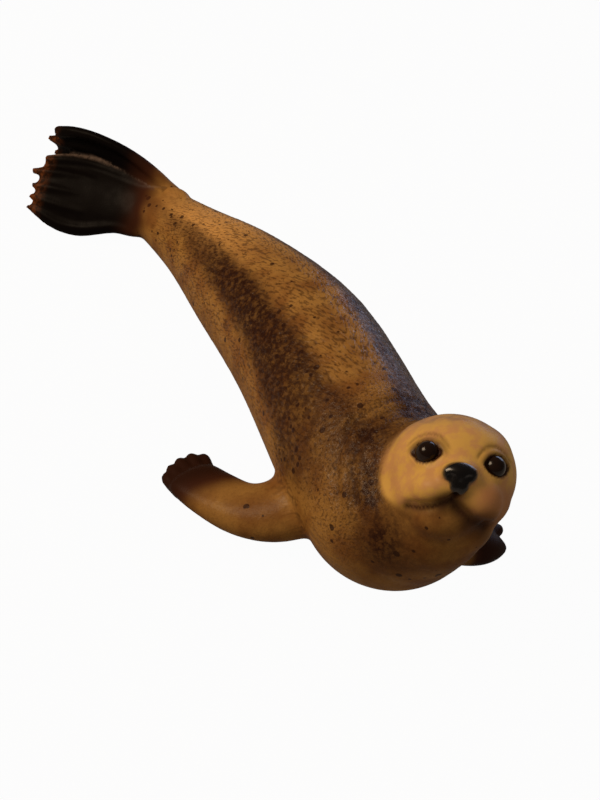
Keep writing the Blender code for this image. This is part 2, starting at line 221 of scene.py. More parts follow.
# Share of the room's soft light that shows in reflections: the figure stands in a dim room.
MIRRORED_SKY = 0.2

# Lamps: direction from the figure, distance and side in metres. Then the tints of the light and the paper.
KEY_LAMP = (-0.68, 0.3, 0.75), 0.5, 0.22
WINDOW_LAMP = (0.9, 0.5, 0.12), 0.5, 0.3
KEY_TINT = "#FFE2BE"
WINDOW_TINT = "#C9D8FF"
ROOM_TINT = "#F2E6D8"
PAPER_TINTS = ("#8E8478", "#988E82")
PAPER_GRAIN = 4 * MM
PAPER_WHITE_SHARE = 0.97
PAPER_IN_REFLECTIONS = 0.12

# Finish. The vinyl itself hardly shines; a thin varnish gives the coat its satin.
VINYL_IOR = 1.4
VINYL_SPECULAR = 0.05
VARNISH_ROUGHNESS = 0.27
VARNISH_OF_SKIN = 0.1
EYE_SHADE = "#24140B"
EYE_GRAIN = 0.8 * MM
EYE_ROUGHNESS = 0.18
EYE_IOR = 1.35
EYE_DOME_START = 0.55
EYE_DOME = 0.35

COAT_MASKS = ("hip_light", "fur", "face", "dark", "wash_and_shade", "dots", "blush_and_shade", "crown", "claws", "edge", "neck", "stub")


def linear(code):
    """An sRGB hex colour as linear RGBA."""
    parts = [int(code[i : i + 2], 16) / 255 for i in (1, 3, 5)]
    return (*[c / 12.92 if c <= 0.04045 else ((c + 0.055) / 1.055) ** 2.4 for c in parts], 1.0)


def colour(name, note, code):
    return bpy.props.FloatVectorProperty(
        name=name, description=note, subtype="COLOR", size=4, min=0.0, max=1.0, default=linear(code)
    )


def length(name, note, value):
    return bpy.props.FloatProperty(name=name, description=note, subtype="DISTANCE", unit="LENGTH", default=value)


class SealShape(bpy.types.PropertyGroup):
    """Sizes of the casting's surface."""

    grain: length("Skin grain", "Distance between points of the finished skin", 0.37 * MM)
    fur_depth: length("Fur depth", "Depth of the carved fur strokes", 0.1 * MM)
    fur_length: length("Fur length", "Length of a carved fur stroke", 0.95 * MM)
    fur_width: length("Fur width", "Width of a carved fur stroke", 0.38 * MM)
    fold_depth: length("Fold depth", "Depth of the folds behind the head", 0.38 * MM)
    mouth_depth: length("Mouth depth", "Depth of the mouth line", 0.6 * MM)
    eye_radius: length("Eye radius", "Radius of each eye's ball", 1.75 * MM)


class SealPaint(bpy.types.PropertyGroup):
    """Colours of the casting's paint, with its painted light, shade, sheen and highlights."""

    coat: colour("Coat", "Tan coat of the body", "#986E36")
    coat_shade: colour("Coat shade", "Deeper tan in the coat's mottling", "#7A5024")
    # Painted light: the lighter tan over the hips and on top of the tail stub stands in for brighter light there.
    hip_light: colour("Hip", "Lighter tan over the hips", "#BE8B4C")
    face: colour("Face", "Pale ochre face", "#C4994F")
    face_tan: colour("Face tan", "Pinkish tan blotches of the face", "#B68458")
    # Reddish tan paint on the left of the muzzle, with painted shade of that side of the face in it.
    blush_and_shade: colour("Blush", "Reddish tan on the left of the muzzle", "#9C6A44")
    # Painted sheen: grey-brown over the crown in place of the window light's reflection on the head.
    crown: colour("Crown", "Grey-brown tint over the crown", "#8A6E58")
    # The wash colour is dark paint, and it also carries painted shade behind the head, beside the mouth and above
    # the left eye.
    wash_and_shade: colour("Wash", "Dark brown airbrushed wash", "#2C150A")
    speckle: colour("Speckle", "Speckles and the wash in the fur strokes", "#2A140A")
    flipper: colour("Flipper", "Dark flippers", "#0B0706")
    flipper_root: colour("Flipper root", "Reddish brown where a flipper's paint fades", "#3E2012")
    # Painted highlight: the pale colour on the flippers' ridges and along the near blade's top edge.
    flipper_highlight: colour("Dry brush", "Pale dry-brushed edges of the flippers", "#7C685C")
    claw: colour("Claw", "Orange-brown claws and knuckles", "#7A431F")
    gloss: colour("Gloss", "Black of the nose", "#0C0807")
    eye: colour("Eye", "Eyes", "#0E0806")


class SealStage(bpy.types.PropertyGroup):
    """Floor and lights."""

    floor: colour("Floor", "Pale floor as the camera sees it", "#FFFFFF")
    floor_size: length("Floor size", "Side of the square floor", 3.0)
    key_watts: bpy.props.FloatProperty(name="Key", description="Warm key lamp", unit="POWER", default=1.8)
    rim_watts: bpy.props.FloatProperty(name="Rim", description="Cool window lamp", unit="POWER", default=0.62)
    sky: bpy.props.FloatProperty(name="Sky", description="Strength of the room's soft light", default=0.38)


def head_frame():
    """The head's own axes as a matrix: x is the seal's left, -y its muzzle and z its crown."""
    return (
        Matrix.Translation(HEAD_CENTRE)
        @ Matrix.Rotation(math.radians(-HEAD_YAW), 4, "Z")
        @ Matrix.Rotation(math.radians(-HEAD_PITCH), 4, "X")
        @ Matrix.Rotation(math.radians(HEAD_ROLL), 4, "Y")
    )


def between(a, b, c, d, t):
    """Catmull-Rom curve from b to c."""
    return 0.5 * ((2 * b) + (c - a) * t + (2 * a - 5 * b + 4 * c - d) * t**2 + (3 * b - a - 3 * c + d) * t**3)


def smooth_rings(rings, steps=4):
    """Rings between the given ones, on a smooth curve. A ring is a centre, a half width and a half height."""
    flat = [Vector((*centre, wide, high)) for centre, wide, high in rings]
    padded = [flat[0] * 2 - flat[1], *flat, flat[-1] * 2 - flat[-2]]
    found = []
    for i in range(1, len(padded) - 2):
        for k in range(steps):
            found.append(between(*padded[i - 1 : i + 3], k / steps))
    found.append(flat[-1])
    return [(Vector(v[:3]), v[3], v[4]) for v in found]


def loft(bm, rings, up=Vector((0, 0, 1)), segments=24):
    """A closed tube through the rings, with flat ends. Each ring stands square to the line of centres."""
    loops = []
    for i, (centre, wide, high) in enumerate(rings):
        ahead = rings[min(i + 1, len(rings) - 1)][0] - rings[max(i - 1, 0)][0]
        ahead.normalize()
        side = up.cross(ahead).normalized()
        top = ahead.cross(side)
        axes = Matrix((side, top, ahead)).transposed().to_4x4()
        place = Matrix.Translation(centre) @ axes @ Matrix.Diagonal((wide, high, 1, 1))
        made = bmesh.ops.create_circle(bm, cap_ends=False, segments=segments, radius=1.0, matrix=place)
        loops.append(list({e for v in made["verts"] for e in v.link_edges}))
    for near, far in zip(loops, loops[1:]):
        bmesh.ops.bridge_loops(bm, edges=near + far)
    for end in (loops[0], loops[-1]):
        bmesh.ops.contextual_create(bm, geom=end)


def ball(bm, axes, centre, radii):
    """An ellipsoid in a frame."""
    place = axes @ Matrix.Translation(centre) @ Matrix.Diagonal((*radii, 1))
    bmesh.ops.create_uvsphere(bm, u_segments=32, v_segments=20, radius=1.0, matrix=place)


def station(ring, rise=0.0):
    plan, half_width, half_height = ring
    return (Vector((*plan, half_height - BELLY_CUT + rise)), half_width, half_height)


def trunk_rings():
    rings = [station(CHEST), station(SHOULDER), station(BACK), station(LOIN)]
    rings += [station(HIP, TAIL_RISE / 3), station(TAIL_ROOT, TAIL_RISE), station(TAIL_END, TAIL_RISE * 2)]
    return smooth_rings(rings)


def masses(bm):
    """The big forms: trunk, neck, skull, muzzle, arms and the roots of the hind flippers."""
    loft(bm, trunk_rings())
    chest = station(CHEST)
    ball(bm, Matrix.Identity(4), chest[0], (chest[1], chest[1], chest[2]))
    ball(bm, Matrix.Identity(4), NECK_CENTRE, (NECK_RADIUS,) * 3)
    head = head_frame()
    ball(bm, head, (0, 0, 0), SKULL_RADII)
    ball(bm, head, BRIDGE, BRIDGE_RADII)
    for cheek, brow in zip(CHEEKS, BROWS):
        ball(bm, head, cheek, CHEEK_RADII)
        ball(bm, head, brow, BROW_RADII)
    for pad in ((RIGHT_PAD, RIGHT_PAD_RADII), (LEFT_PAD, LEFT_PAD_RADII)):
        ball(bm, head, *pad)
    for below in ((CHIN, CHIN_RADII), (THROAT, THROAT_RADII)):
        ball(bm, head, *below)
    throat = head @ Vector(THROAT)
    for k in range(1, BIB_STEPS):
        share = k / BIB_STEPS
        radius = BIB_RADII[0] + (BIB_RADII[1] - BIB_RADII[0]) * share
        ball(bm, Matrix.Identity(4), throat.lerp(Vector(BIB_END), share), (radius,) * 3)
    for rings in (RIGHT_ARM, LEFT_ARM):
        loft(bm, smooth_rings([(Vector(c), w, h) for c, w, h in rings]))
    hind_flippers(bm, WEB[:4], (), ())


def digit(bm, root, tip, radius):
    """A short rounded digit with a small claw on its end."""
    root, tip = Vector(root), Vector(tip)
    ahead = (tip - root).normalized()
    knuckle = tip - ahead * radius * 1.6
    rings = [(root, radius, radius), (knuckle, radius * 1.12, radius * 1.05)]
    rings += [(tip - ahead * radius * 0.55, radius * 0.85, radius * 0.8), (tip, radius * 0.3, radius * 0.3)]
    loft(bm, smooth_rings(rings, 3), segments=14)


def blade_frame(root, along, down, outward):
    """Axes of a hind flipper as a matrix: x along it, y down its width, z out of its face."""
    along = Vector(along).normalized()
    down = Vector(down)
    down = (down - along * down.dot(along)).normalized()
    face = along.cross(down) * outward
    return Matrix.Translation(root) @ Matrix((along, down, face)).transposed().to_4x4()


def blade(bm, axes, web, digits, stretch=1.0, slant=0.0, arch=0.0, claw_share=1.0):
    """One hind flipper: a thin web with ridged digits, cupped across its width."""
    flat = bmesh.new()
    up = Vector((0, 0, 1))
    rings = [(Vector((a, (lo + hi) / 2, 0)), (hi - lo) / 2, thick) for a, lo, hi, thick in web]
    loft(flat, smooth_rings(rings), up=up, segments=40)
    for line in digits:
        loft(flat, smooth_rings([(Vector((a, w, 0)), r, r) for a, w, r in line]), up=up, segments=12)
    for v in flat.verts:
        open_share = min(max(v.co.x / 12, 0), 1)
        v.co.z += BLADE_CUP * open_share * ((v.co.y / 7) ** 2 - 0.5)
        v.co.y -= arch * math.sin(math.pi * min(max(v.co.x / 20, 0), 1))
        reach = min(v.co.x, WEB_END) + max(v.co.x - WEB_END, 0) * claw_share
        v.co.x = reach * stretch - slant * open_share * (v.co.y + 6)
    flat.transform(axes)
    merged = bpy.data.meshes.new("blade")
    flat.to_mesh(merged)
    flat.free()
    bm.from_mesh(merged)
    bpy.data.meshes.remove(merged)


def hind_flippers(bm, web, near_digits, far_digits):
    blade(bm, blade_frame(*NEAR_BLADE), web, near_digits)
    blade(bm, blade_frame(*FAR_BLADE), web[1:], far_digits, *FAR_SHAPE)


def details(bm, eye_radius):
    """The small forms: eyeballs, nose, digits, ridged hind flippers and the stub of a tail."""
    head = head_frame()
    for centre in EYES:
        ball(bm, head, centre, (eye_radius - 0.05,) * 3)
    x, y, z = NOSE_TIP
    ball(bm, head, (x, y + 1.6, z + 0.1), NOSE_RADII)
    ball(bm, head, (x, y + 1.6, z - 1.3), UNDER_NOSE_RADII)
    for root, tip in RIGHT_DIGITS + LEFT_DIGITS:
        digit(bm, root, tip, FRONT_DIGIT_RADIUS)
    hind_flippers(bm, WEB, (NEAR_FIRST_DIGIT, *OTHER_DIGITS), (FAR_FIRST_DIGIT, *OTHER_DIGITS))
    turn = Matrix.Rotation(math.radians(STUB_TAIL_TURN), 4, "Z")
    ball(bm, Matrix.Translation(STUB_TAIL) @ turn, (0, 0, 0), STUB_TAIL_RADII)


def remeshed(bm, grain, smoothing):
    """The shapes in bm melted into one skin, as a new bmesh."""
    bmesh.ops.recalc_face_normals(bm, faces=bm.faces)
    mesh = bpy.data.meshes.new("rough")
    bm.to_mesh(mesh)
    bm.free()
    rough = bpy.data.objects.new("rough", mesh)
    bpy.context.scene.collection.objects.link(rough)
    skin = rough.modifiers.new("skin", "REMESH")
    skin.mode = "VOXEL"
    skin.voxel_size = grain
    smooth = rough.modifiers.new("smooth", "SMOOTH")
    smooth.iterations = smoothing
    smooth.factor = 0.5
    done = bmesh.new()
    done.from_object(rough, bpy.context.evaluated_depsgraph_get())
    bpy.data.objects.remove(rough)
    bpy.data.meshes.remove(mesh)
    return done


def places(bm):
    return np.array([v.co for v in bm.verts])


def soft(value, start, end):
    """0 at start, 1 at end, smooth between."""
    share = np.clip((value - start) / (end - start), 0, 1)
    return share * share * (3 - 2 * share)


def ridge(distance, half_width):
    """1 at distance 0, falling smoothly to 0."""
    return np.exp(-((distance / half_width) ** 2))


def distance_to_line(points, line):
    """Distance of each 2-D point to a polyline."""
    nearest = np.full(len(points), 1e9)
    for a, b in zip(line, line[1:]):
        a, b = np.array(a), np.array(b)
        share = np.clip(((points - a) @ (b - a)) / ((b - a) @ (b - a)), 0, 1)
        nearest = np.minimum(nearest, np.linalg.norm(points - (a + share[:, None] * (b - a)), axis=1))
    return nearest


def in_frame(at, axes):
    inverse = np.array(axes.inverted())
    return at @ inverse[:3, :3].T + inverse[:3, 3]


def trunk_place(at):
    """Where each point is on the trunk.

    Gives its distance from the chest along the axis, its angle round it (0 on the back, + to the right) and
    its distance from the axis.
    """
    centres = np.array([ring[0] for ring in trunk_rings()])
    nearest = np.full(len(at), 1e9)
    along = np.zeros(len(at))
    angle = np.zeros(len(at))
    start = 0.0
    for a, b in zip(centres, centres[1:]):
        step = b - a
        share = np.clip(((at - a) @ step) / (step @ step), 0, 1)
        out = at - (a + share[:, None] * step)
        gap = np.linalg.norm(out, axis=1)
        ahead = step / np.linalg.norm(step)
        side = np.cross((0, 0, 1), ahead)
        side /= np.linalg.norm(side)
        top = np.cross(ahead, side)
        closer = gap < nearest
        nearest = np.where(closer, gap, nearest)
        along = np.where(closer, start + share * np.linalg.norm(step), along)
        angle = np.where(closer, np.degrees(np.arctan2(out @ side, out @ top)), angle)
        start += np.linalg.norm(step)
    return along, angle, nearest


def fur_flow(along, angle):
    """Coordinates that follow the coat, which lies back and down: along a hair, across it, and round the body."""
    round_body = np.radians(angle) * ROUND_TRUNK
    lean = math.radians(STROKE_LEAN)
    lie = along * math.cos(lean) + np.abs(round_body) * math.sin(lean)
    across = np.abs(round_body) * math.cos(lean) - along * math.sin(lean)
    return np.stack([lie, across, round_body / 3], axis=1)


def noise_at(points, size):
    """Smooth noise at the points, about -1 to 1, with features of the given size on each axis."""
    return np.array([noise.noise(Vector(p)) for p in points / size])


class Coat:
    """Where each kind of paint, painted light and shade, and carving lies, for points in sculpting millimetres.
    """

    def __init__(self, at):
        self.at = at
        self.along, self.angle, off_axis = trunk_place(at)
        self.flow = fur_flow(self.along, self.angle)
        self.head = in_frame(at, head_frame())
        x, y, z = at.T
        broad = noise_at(at, 6.0)
        turn = np.abs(self.angle - BAND_LEAN) + 5 * broad
        upper = np.interp(self.along, *BAND_UPPER_EDGE)
        lower = np.interp(self.along, *BAND_LOWER_EDGE)
        strength = np.interp(self.along, *BAND_STRENGTH)
        band = soft(turn, upper - 9, upper + 7) * soft(turn, lower + 10, lower - 10) * strength
        across, deep, up = self.head.T
        reach = np.linalg.norm(self.head * (1.0, 0.8, 1.0), axis=1) + 0.25 * broad
        above = up - np.interp(across, *FACE_LOWER_EDGE)
        self.face = soft(reach, FACE_EDGE + 0.5, FACE_EDGE - 0.5)
        self.face *= soft(deep, 2.0, -1.5)
        self.face *= soft(above, -1.5, 0.6)
        # Reddish tan paint on the left of the muzzle, which also darkens that side of the face as painted shade.
        self.blush_and_shade = soft(across, -0.4, 3.6) * soft(up, 0.5, -2.5)
        # Painted sheen: grey-brown over the crown in place of the window light's reflection on the top of the
        # head.
        self.crown = soft(up + 0.8 * deep, 0.5, 5.8)
        patch = ridge(np.linalg.norm((at - NECK_PATCH) / NECK_PATCH_RADII, axis=1), 1.0)
        self.dark = self.flippers(at)
        from_head = np.linalg.norm(self.head, axis=1)
        # Painted shade: a darker ring round the neck just behind the head, where the head shades it.
        neck = 0.75 * ridge(from_head - 11.5, 4.5) * soft(deep, -3.0, 0.0) * soft(up, -8.0, -4.0)
        arm = soft(off_axis, 13.0, 17.0) * soft(y, 30.0, 20.0)
        self.neck = np.maximum(soft(from_head, 27.0, 17.0), arm)
        # Dark mask: the flank band, the patch under the right cheek, the painted shade behind the head, and some
        # on the arms.
        self.wash_and_shade = np.clip(band + 0.95 * patch + neck + 0.22 * arm, 0, 1)
        self.wash_and_shade *= 1 - self.face
        self.wash_and_shade *= 1 - self.dark
        front = soft(y, -34, -39)
        low = soft(turn, 72, 100)
        self.fur = (1 - self.face) * (1 - self.dark)
        self.fur *= 1 - 0.5 * low
        self.fur *= 1 - 0.75 * front
        self.fur *= soft(self.along, 88, 74)
        self.fur *= 1 - 0.55 * arm
        rump = soft(self.along, 60, 76) * soft(turn, 14, 34)
        # Painted light: lighter tan over the tops of the hips, where the light falls brightest.
        self.hip_light = soft(self.along, 42, 66) * soft(self.along, 88, 72) * soft(turn, 60, 20)
        self.dots = np.clip(0.2 + 0.5 * band + rump, 0, 1) * (1 - self.face)
        # Painted light on the top of the tail stub, in the same lighter tan as the hips.
        from_stub = np.linalg.norm((at - STUB_TAIL) / STUB_TAIL_RADII, axis=1)
        self.stub = 0.55 * ridge(from_stub, 1.1) * soft(z, 11.2, 12.2)

    def flippers(self, at):
        """Dark paint of the four flippers."""
        x, y, z = at.T
        near = in_frame(at, blade_frame(*NEAR_BLADE))
        far = in_frame(at, blade_frame(*FAR_BLADE))
        on_near = np.abs(near[:, 2]) < np.abs(far[:, 2])
        along = np.where(on_near, near[:, 0], far[:, 0]) + 0.8 * noise_at(at, 3.0)
        hind = np.where(on_near, soft(along, -6.0, 8.0), soft(along, -4.0, 12.0)) * soft(y, 44, 50)
        unstretched = np.where(on_near, near[:, 0], far[:, 0] / FAR_STRETCH)
        self.claws = soft(unstretched, 19.5, 23.0) * soft(y, 60, 64)
        # Painted highlight: a thin pale line along the near blade's top edge, over its first digit.
        first = distance_to_line(near[:, :2] + (0, 0.95), [place[:2] for place in NEAR_FIRST_DIGIT])
        self.edge = ridge(first, 0.38) * soft(near[:, 0], -1.0, 3.0) * on_near * soft(y, 50, 56)
        right = soft(y, -17, -7) * soft(x, -13, -16)
        left = soft(x, 8, 13) * soft(z, 11, 8) * soft(y, -22, -25)
        return np.clip(hind + HAND_PAINT * (right + left), 0, 1)


def eye_axes(centre, gaze):
    """Axes of an eye in the head: x across it, y up it, z out of it."""
    out = Vector(gaze).normalized()
    across = Vector((0, 0, 1)).cross(out).normalized()
    up = out.cross(across)
    return Matrix.Translation(centre) @ Matrix((across, up, out)).transposed().to_4x4()


def lid_rim(seen):
    """Distance outside the almond opening of the lids, for points in an eye's own axes."""
    wide, high = EYE_OPENING
    pointed = ((seen[:, 0] / wide) ** 2 + np.abs(seen[:, 1]) / high - 1) * 0.75
    rounded = np.hypot(seen[:, 0] / wide, seen[:, 1] / high) - 1
    return (pointed + rounded) * high / 2


def carve_face(at, shape):
    """Height to add along each point's normal for the mouth, lids, nostrils, collar and neck folds."""
    local = in_frame(at, head_frame())
    front = np.clip((-2.5 - local[:, 1]) / 1.5, 0, 1)
    flat = local[:, [0, 2]]
    lift = -shape.mouth_depth / MM * front * ridge(distance_to_line(flat, MOUTH_LINE), 0.65)
    lift -= 0.22 * front * ridge(distance_to_line(flat, PHILTRUM_LINE), 0.4)
    for centre, gaze, nostril in zip(EYES, EYE_GAZES, NOSTRILS):
        seen = in_frame(local, eye_axes(centre, gaze))
        outward = soft(seen[:, 2], -0.6, 0.6)
        rim = lid_rim(seen)
        lift += 0.2 * ridge(rim - 0.3, 0.35) * outward
        lift -= 0.3 * soft(rim, 0.05, -0.3) * outward
        lift -= 0.16 * ridge(rim - 0.95, 0.3) * soft(seen[:, 1], 0.3, 1.3) * outward
        pit = np.linalg.norm((local - nostril) * (1.0, 1.0, 1.7), axis=1)
        lift -= 0.5 * ridge(pit, 0.55)
    from_head = np.linalg.norm(local, axis=1)
    behind = soft(local[:, 1], -3, -0.5) * soft(local[:, 2], -7, -4)
    lift -= COLLAR_DEPTH * behind * ridge(from_head - COLLAR, 0.8)
    for fold in NECK_FOLDS:
        wave = 0.35 * np.sin(local[:, 0] * 0.5 + fold)
        lift -= shape.fold_depth / MM * behind * ridge(from_head - fold - wave, 0.8)
    return lift


def carve_fur(coat, shape):
    """Depth of the short fur strokes, which lie back and down over the body."""
    size = np.array([shape.fur_length, shape.fur_width, 3 * shape.fur_length]) / MM
    strokes = noise_at(coat.flow, size)
    strokes += (noise_at(coat.at, shape.fur_width / MM * 1.3) * 0.5 - strokes) * coat.neck
    finer = noise_at(coat.flow + (31.0, 17.0, 5.0), size * 0.62) * (1 - coat.neck)
    uneven = 0.75 + 0.5 * noise_at(coat.flow + (7.0, 3.0, 1.0), 7.0)
    hollow = soft(strokes, -0.05, 0.35) + 0.7 * soft(finer, 0.0, 0.4)
    return -shape.fur_depth / MM * coat.fur * uneven * hollow


def sculpt(bm, shape):
    """Works the face and the fur into the skin."""
    bm.normal_update()
    at = places(bm)
    lift = carve_face(at, shape) + carve_fur(Coat(at), shape)
    for v, rise in zip(bm.verts, lift):
        v.co += v.normal * rise


def rest_flat(bm):
    """Cuts the figure level where it rests and closes the cut."""
    cut = bmesh.ops.bisect_plane(
        bm,
        geom=bm.verts[:] + bm.edges[:] + bm.faces[:],
        plane_co=(0, 0, 0),
        plane_no=(0, 0, -1),
        clear_outer=True,
    )
    rim = [e for e in cut["geom_cut"] if isinstance(e, bmesh.types.BMEdge)]
    filled = bmesh.ops.holes_fill(bm, edges=rim, sides=0)
    bmesh.ops.triangulate(bm, faces=filled["faces"])


def relief(bm):
    """How far each point stands above its surroundings: ridges are positive and grooves negative."""
    bm.normal_update()
    rounded = bm.copy()
    for _ in range(5):
        bmesh.ops.smooth_vert(
            rounded, verts=rounded.verts, factor=0.5, use_axis_x=True, use_axis_y=True, use_axis_z=True
        )
    normals = np.array([v.normal for v in bm.verts])
    height = ((places(bm) - places(rounded)) * normals).sum(axis=1)
    rounded.free()
    return height


def place_in_frame(bm):
    """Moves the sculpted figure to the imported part's box. Returns the move in millimetres."""
    at = places(bm)
    low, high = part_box("seal")
    middle = (low + high) / 2 / MM
    under = Vector((*(at.min(0) + at.max(0))[:2] / 2, at.min(0)[2]))
    shift = Vector((middle.x, middle.y, low.z / MM)) - under
    bmesh.ops.translate(bm, verts=bm.verts, vec=shift)
    bmesh.ops.scale(bm, verts=bm.verts, vec=(MM, MM, MM))
    return shift


def add_attribute(mesh, name, values):
    kind, field = ("FLOAT", "value") if values.ndim == 1 else ("FLOAT_VECTOR", "vector")
    made = mesh.attributes.new(name, kind, "POINT")
    made.data.foreach_set(field, values.astype(np.float32).ravel())


def new_object(name, mesh, material):
    made = bpy.data.objects.new(name, mesh)
    bpy.context.scene.collection.objects.link(made)
    made.data.materials.append(material)
    mesh.shade_smooth()
    return made


def add_node(tree, kind, settings=None, inputs=None):
    """Adds a node. An input given as a socket is linked, and any other is set. Returns the node."""
    made = tree.nodes.new(kind)
    for name, value in (settings or {}).items():
        setattr(made, name, value)
    for name, value in (inputs or {}).items():
        if isinstance(value, bpy.types.NodeSocket):
            tree.links.new(value, made.inputs[name])
        else:
            made.inputs[name].default_value = value
    return made


def per_mm(size):
    """Scale of a texture on coordinates in millimetres whose features are this size."""
    return 1.0 / size


def new_material(name):
    """An empty material with its shader and its tree."""
    made = bpy.data.materials.new(name)
    made.use_nodes = True
    return made, made.node_tree, made.node_tree.nodes["Principled BSDF"]


def painted_vinyl(paint):
    """Moulded soft vinyl, painted by hand: satin, with dark wash in the carved fur, painted light and shade, and
    pale painted highlights on the flippers.
    """
    material, tree, shader = new_material("painted moulded vinyl")

    def attribute(name, output="Fac"):
        return add_node(tree, "ShaderNodeAttribute", {"attribute_name": name}).outputs[output]

    def maths(operation, a, b=0.0, clamp=True):
        settings = {"operation": operation, "use_clamp": clamp}
        return add_node(tree, "ShaderNodeMath", settings, {0: a, 1: b}).outputs[0]

    def spread(value, low, high, start=0.0, end=1.0):
        settings = {"interpolation_type": "SMOOTHSTEP"}
        inputs = {"Value": value, "From Min": low, "From Max": high, "To Min": start, "To Max": end}
        return add_node(tree, "ShaderNodeMapRange", settings, inputs).outputs[0]

    def over(share, below, above):
        """Paints one colour over another."""
        inputs = {0: share, 6: below, 7: above}
        return add_node(tree, "ShaderNodeMix", {"data_type": "RGBA"}, inputs).outputs[2]

    def blend(share, a, b):
        """Goes from one value to another."""
        return add_node(tree, "ShaderNodeMix", {}, {0: share, 2: a, 3: b}).outputs[0]

    def grain(vector, size, detail=2.0, rough=0.5):
        inputs = {"Vector": vector, "Scale": per_mm(size), "Detail": detail, "Roughness": rough}
        return add_node(tree, "ShaderNodeTexNoise", {}, inputs).outputs["Fac"]

    here = add_node(tree, "ShaderNodeTexCoord").outputs["Object"]
    here = add_node(tree, "ShaderNodeVectorMath", {"operation": "SCALE"}, {0: here, "Scale": 1 / MM}).outputs[0]
    flow = attribute("flow", "Vector")
    hairs = add_node(tree, "ShaderNodeMapping", {}, {"Vector": flow, "Scale": (0.36, 1.0, 0.3)}).outputs[0]
    fur, face, dark, wash_and_shade, dots = (attribute(n) for n in ("fur", "face", "dark", "wash_and_shade", "dots"))
    blush_and_shade, crown, claws, edge, neck = (attribute(n) for n in ("blush_and_shade", "crown", "claws", "edge", "neck"))
    height, gloss, dark_paint_and_shade = attribute("relief"), attribute("gloss"), attribute("dark_paint_and_shade")

    # Coat: mottled tan, painted light on the hips, the pale face with its painted shade and sheen, then the dark
    # band of the flanks and the painted shade behind the head, broken up by the fur.
    mottle = grain(here, 5.0, 3.0)
    tone = over(spread(mottle, 0.35, 0.68), paint.coat, paint.coat_shade)
    # Painted light: lighter tan over the hips and the top of the tail stub.
    tone = over(maths("MAXIMUM", attribute("hip_light"), attribute("stub")), tone, paint.hip_light)
    blotches = spread(grain(here, 2.6, 4.0, 0.6), 0.42, 0.62, 0.0, 0.75)
    skin = over(blotches, paint.face, paint.face_tan)
    # Reddish tan paint and painted shade on the left of the muzzle.
    skin = over(maths("MULTIPLY", blush_and_shade, 0.85), skin, paint.blush_and_shade)
    # Painted sheen: grey-brown patches over the crown.
    grey = spread(grain(here, 1.7, 4.0, 0.6), 0.35, 0.65, 0.45, 0.95)
    skin = over(maths("MULTIPLY", crown, grey), skin, paint.crown)
    tone = over(face, tone, skin)
    breakup = spread(grain(here, 1.0, 4.0, 0.7), 0.35, 0.6, 0.68, 1.0)
    tone = over(maths("MULTIPLY", wash_and_shade, breakup), tone, paint.wash_and_shade)
    # Dark paint on the mouth line and eye rims, with painted shade beside the mouth, under the nose and above the
    # left eye.
    tone = over(dark_paint_and_shade, tone, paint.wash_and_shade)

    # Wash left in the carved strokes, and finer strokes of 0.4 mm painted only.
    groove = spread(height, -0.008, -0.06)
    settled = maths("MULTIPLY", 0.5, maths("SUBTRACT", 1.0, face))
    tone = over(maths("MULTIPLY", groove, settled), tone, paint.speckle)
    strokes = spread(blend(neck, grain(hairs, 0.4, 1.5), grain(here, 0.4, 3.0)), 0.48, 0.64)
    tone = over(maths("MULTIPLY", strokes, maths("MULTIPLY", fur, 0.55)), tone, paint.speckle)

    # Speckles flicked on: dots half a millimetre to a millimetre across, thickest on the flanks and rump.
    cells = add_node(tree, "ShaderNodeTexVoronoi", {}, {"Vector": here, "Scale": per_mm(1.5)})
    chance = add_node(tree, "ShaderNodeSeparateColor", {}, {0: cells.outputs["Color"]}).outputs
    reach = maths("MULTIPLY", chance[1], 0.24)
    spots = spread(maths("SUBTRACT", maths("ADD", reach, 0.14), cells.outputs["Distance"], False), 0.0, 0.07)
    spots = maths("MULTIPLY", spots, maths("LESS_THAN", chance[0], maths("MULTIPLY", dots, 0.75)))
    tone = over(maths("MULTIPLY", spots, 0.85), tone, paint.speckle)

    # Flippers: near black, fading through reddish brown, with pale painted highlights on their ridges and top
    # edge.
    tone = over(spread(dark, 0.1, 0.6), tone, paint.flipper_root)
    tone = over(spread(dark, 0.42, 1.0), tone, paint.flipper)
    patchy = spread(grain(here, 1.2, 3.0), 0.35, 0.65, 0.2, 0.8)
    crest = maths("MULTIPLY", spread(height, 0.12, 0.24), patchy)
    uneven = spread(grain(here, 0.9, 3.0), 0.3, 0.6, 0.35, 1.0)
    chipped = spread(grain(here, 0.9, 3.0), 0.4, 0.6, 0.15, 0.65)
    tone = over(maths("MULTIPLY", claws, chipped), tone, paint.claw)
    # Painted highlight: pale on the dark flippers' ridges and along the near blade's top edge.
    tone = over(maths("MULTIPLY", maths("MULTIPLY", crest, dark), 0.3), tone, paint.flipper_highlight)
    tone = over(maths("MULTIPLY", maths("MULTIPLY", edge, uneven), 0.6), tone, paint.flipper_highlight)
    tone = over(gloss, tone, paint.gloss)
    tree.links.new(tone, shader.inputs["Base Color"])

